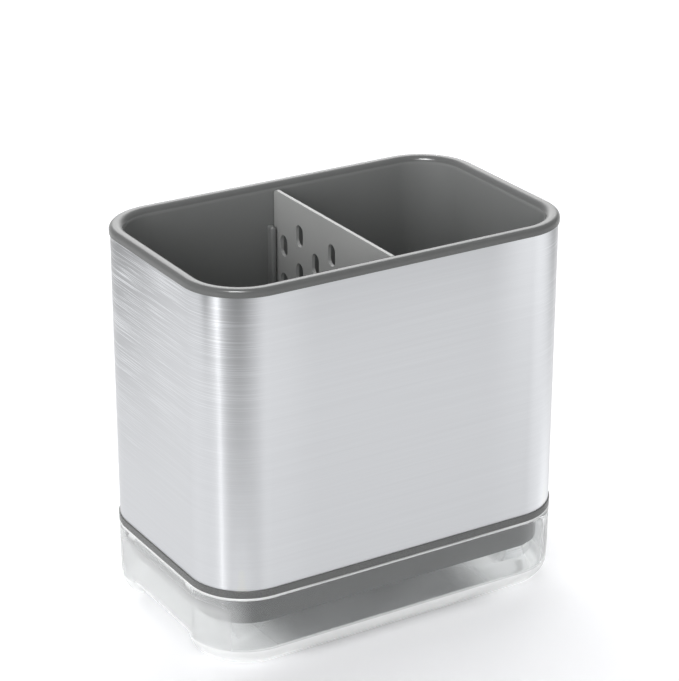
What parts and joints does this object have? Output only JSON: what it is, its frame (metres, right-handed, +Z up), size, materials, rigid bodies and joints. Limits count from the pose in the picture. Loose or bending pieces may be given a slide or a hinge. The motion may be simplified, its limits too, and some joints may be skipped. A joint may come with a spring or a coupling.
{
  "type": "sink caddy",
  "caption": "Sink caddy: a brushed steel sleeve around a drained liner, with a lift-out perforated divider, standing in a clear lift-off drip tray.",
  "frame": {"origin": "on the counter, under the middle of the drip tray", "axes": "+X along the width, to the right seen from the front; +Y along the depth, towards the back; +Z up"},
  "size_m": [0.156, 0.0978, 0.1508],
  "materials": {
    "clear_plastic": "clear, polished",
    "soft_pads": "translucent soft pad",
    "grey_plastic": "satin moulded plastic",
    "brushed_steel": "horizontal brushed grain",
    "divider_plastic": "satin moulded plastic"
  },
  "bodies": {
    "tray": {"drip_tray": "clear_plastic", "tray_feet": "soft_pads"},
    "holder": {"liner_tub": "grey_plastic", "base_ring": "grey_plastic", "steel_sleeve": "brushed_steel"},
    "divider": {"divider_panel": "divider_plastic"}
  },
  "joints": [
    {"name": "holder_lift", "type": "slide", "parent": "tray", "child": "holder", "axis": [0, 0, 1], "range_m": [0, 0.04]},
    {"name": "divider_lift", "type": "slide", "parent": "holder", "child": "divider", "axis": [0, 0, 1], "range_m": [0, 0.135]}
  ]
}
